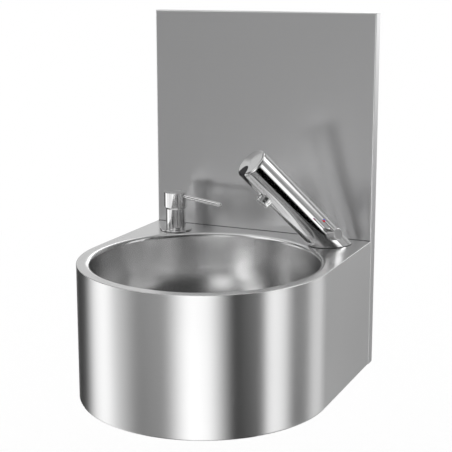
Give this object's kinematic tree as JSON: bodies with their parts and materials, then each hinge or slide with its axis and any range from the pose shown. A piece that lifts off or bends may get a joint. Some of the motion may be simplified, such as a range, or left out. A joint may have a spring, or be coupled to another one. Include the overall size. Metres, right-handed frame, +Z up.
{
  "type": "wash hand basin",
  "caption": "Wall-hung steel basin with a round pressed bowl, half-round front, tall splashback, soap pump and inclined touch-free mixer tap with a temperature lever.",
  "frame": {"origin": "centre of the four wall fixings, in the wall plane, level with the top of the deck", "axes": "+Y into the wall, +Z up, +X to the user's right"},
  "size_m": [0.4, 0.44, 0.59],
  "materials": {
    "satin_steel": "satin brushed",
    "plain_steel": "mill finish",
    "waste_steel": "polished",
    "chrome": "polished",
    "brass": "as machined",
    "black_rubber": "matt",
    "waste_plastic": "moulded",
    "bottle_plastic": "translucent moulded",
    "pump_plastic": "moulded",
    "valve_plastic": "moulded",
    "dark_window": "polished",
    "red_mark": "enamelled",
    "blue_mark": "enamelled"
  },
  "bodies": {
    "sink": {"bowl": "satin_steel", "deck": "satin_steel", "apron": "satin_steel", "splashback": "satin_steel", "hanger_rail": "plain_steel", "wall_bracket": "plain_steel", "lower_wall_channels": "plain_steel", "tap_doubler": "plain_steel", "tap_clamp_plate": "plain_steel", "tap_studs": "plain_steel", "pump_washer": "plain_steel", "inlet_ball": "plain_steel", "pump_spring": "plain_steel", "strainer": "waste_steel", "strainer_screw": "waste_steel", "pump_collar": "chrome", "tap_body": "chrome", "tap_end_cap": "chrome", "aerator_housing": "chrome", "tap_inlets": "brass", "tap_nuts": "brass", "strainer_seal": "black_rubber", "waste_seal": "black_rubber", "tap_base_seal": "black_rubber", "tap_clamp_seal": "black_rubber", "pump_collar_seal": "black_rubber", "waste_body": "waste_plastic", "soap_bottle": "bottle_plastic", "dip_tube": "bottle_plastic", "pump_shank": "pump_plastic", "pump_nut": "pump_plastic", "pump_cylinder": "pump_plastic", "pump_gland": "pump_plastic", "solenoid_valve": "valve_plastic", "outlet_channel": "valve_plastic", "mixing_cartridge": "valve_plastic", "sensor_module": "valve_plastic", "aerator_insert": "valve_plastic", "sensor_window": "dark_window"},
    "pump_rod": {"pump_stem": "pump_plastic"},
    "pump_cap": {"pump_head": "chrome", "pump_spout": "chrome"},
    "tap_lever": {"lever_spindle": "brass", "lever_hub": "chrome", "lever_pin": "chrome", "hot_mark": "red_mark", "cold_mark": "blue_mark"}
  },
  "joints": [
    {"name": "pump_press", "type": "slide", "parent": "sink", "child": "pump_rod", "axis": [0, 0, -1], "range_m": [0, 0.014], "stiffness_N_per_m": 800, "springref_m": -0.012, "deforming": ["pump_spring"]},
    {"name": "pump_turn", "type": "hinge", "parent": "pump_rod", "child": "pump_cap", "pos_m": [-0.13699, -0.073, 0.05], "axis": [0, 0, 1], "range_deg": [-190, 40]},
    {"name": "temperature_lever", "type": "hinge", "parent": "sink", "child": "tap_lever", "pos_m": [0.13278, -0.08067, 0.01909], "axis": [0.8592, -0.4778, 0.183], "range_deg": [-45, 45]}
  ]
}
